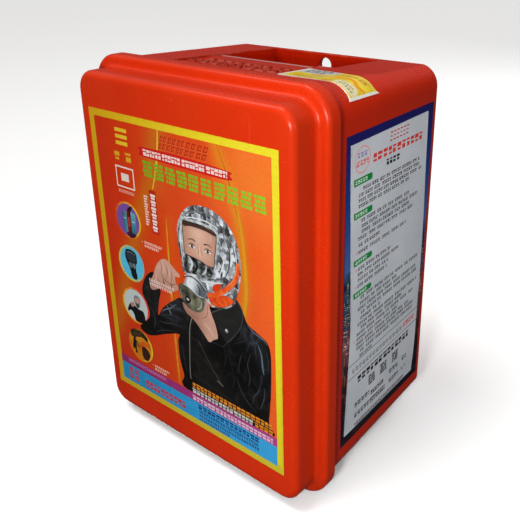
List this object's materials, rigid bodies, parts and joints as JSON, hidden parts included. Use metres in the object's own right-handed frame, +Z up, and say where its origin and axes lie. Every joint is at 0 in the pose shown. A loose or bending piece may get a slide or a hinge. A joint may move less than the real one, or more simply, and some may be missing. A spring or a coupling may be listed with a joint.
{
  "type": "smoke hood",
  "caption": "Smoke hood in its wall case: a pull-off lid on a tapered box with a hanging recess, holding a sealed pack with hood, half mask and filter canister.",
  "frame": {"origin": "centre of the bounding box in X and Y, at the lowest point of the lid's flange", "axes": "+X to the case's right side label as seen from the front, +Y to the back wall, +Z up"},
  "size_m": [0.1364, 0.1062, 0.188],
  "materials": {
    "case_red": "moulded polypropylene, semi-gloss",
    "lid_red": "moulded polypropylene, semi-gloss",
    "front_print": "gloss-laminated print",
    "side_print": "satin print",
    "corner_print": "satin print",
    "leaflet_paper": "matt",
    "foil_front": "crinkled aluminium laminate",
    "foil_back": "crinkled aluminium laminate",
    "crown_cloth": "aluminised cloth",
    "skirt_cloth": "aluminised cloth",
    "window_film": "clear film",
    "tape": "bonded tape",
    "collar_elastic": "knitted elastic",
    "mask_rubber": "matt",
    "clamp_plastic": "satin",
    "seat_out": "satin",
    "seat_in": "satin",
    "flap_out": "silicone",
    "flap_in": "silicone",
    "valve_cover": "satin",
    "canister_metal": "drawn, satin",
    "base_lacquer": "black lacquer",
    "felt": "felt",
    "pleat_paper": "filter paper",
    "screen_low": "punched sheet",
    "screen_up": "punched sheet",
    "grains": "packed carbon and oxide grains",
    "plug_in": "satin",
    "plug_out": "satin",
    "strap_elastic": "woven elastic",
    "slider_l": "satin",
    "slider_r": "satin"
  },
  "bodies": {
    "case": {"case_body": "case_red", "side_label": "side_print", "corner_sticker": "corner_print", "leaflet": "leaflet_paper", "pouch_front": "foil_front", "pouch_back": "foil_back", "hood_crown": "crown_cloth", "hood_skirt": "skirt_cloth", "visor": "window_film", "visor_tape": "tape", "neck_elastic": "collar_elastic", "half_mask": "mask_rubber", "mask_clamp": "clamp_plastic", "exhale_seat": "seat_out", "exhale_cover": "valve_cover", "canister_shell": "canister_metal", "canister_base": "base_lacquer", "prefilter_pad": "felt", "particulate_filter": "pleat_paper", "lower_screen": "screen_low", "catalyst_bed": "grains", "upper_screen": "screen_up", "inhale_seat": "seat_in", "head_strap": "strap_elastic"},
    "lid": {"lid_cover": "lid_red", "front_label": "front_print"},
    "plug_in": {"inlet_plug": "plug_in"},
    "plug_out": {"outlet_plug": "plug_out"},
    "flap_in": {"inhale_flap": "flap_in"},
    "flap_out": {"exhale_flap": "flap_out"},
    "buckle_l": {"slider_left": "slider_l"},
    "buckle_r": {"slider_right": "slider_r"}
  },
  "joints": [
    {"name": "lid_pull", "type": "slide", "parent": "case", "child": "lid", "axis": [0, -1, 0], "range_m": [0, 0.06]},
    {"name": "inlet_plug_pull", "type": "slide", "parent": "case", "child": "plug_in", "axis": [0, 0, -1], "range_m": [0, 0.0085]},
    {"name": "outlet_plug_pull", "type": "slide", "parent": "case", "child": "plug_out", "axis": [0, 0, 1], "range_m": [0, 0.022]},
    {"name": "inhale_flap_lift", "type": "slide", "parent": "case", "child": "flap_in", "axis": [0, 0, 1], "range_m": [0, 0.002], "stiffness_N_per_m": 8},
    {"name": "exhale_flap_lift", "type": "slide", "parent": "case", "child": "flap_out", "axis": [0, -1, 0], "range_m": [0, 0.002], "stiffness_N_per_m": 8},
    {"name": "slider_left_run", "type": "hinge", "parent": "case", "child": "buckle_l", "pos_m": [0, 0, 0.11], "axis": [0, 0, 1], "range_deg": [-40, 18]},
    {"name": "slider_right_run", "type": "hinge", "parent": "case", "child": "buckle_r", "pos_m": [0, 0, 0.11], "axis": [0, 0, 1], "range_deg": [-10, 40]}
  ]
}
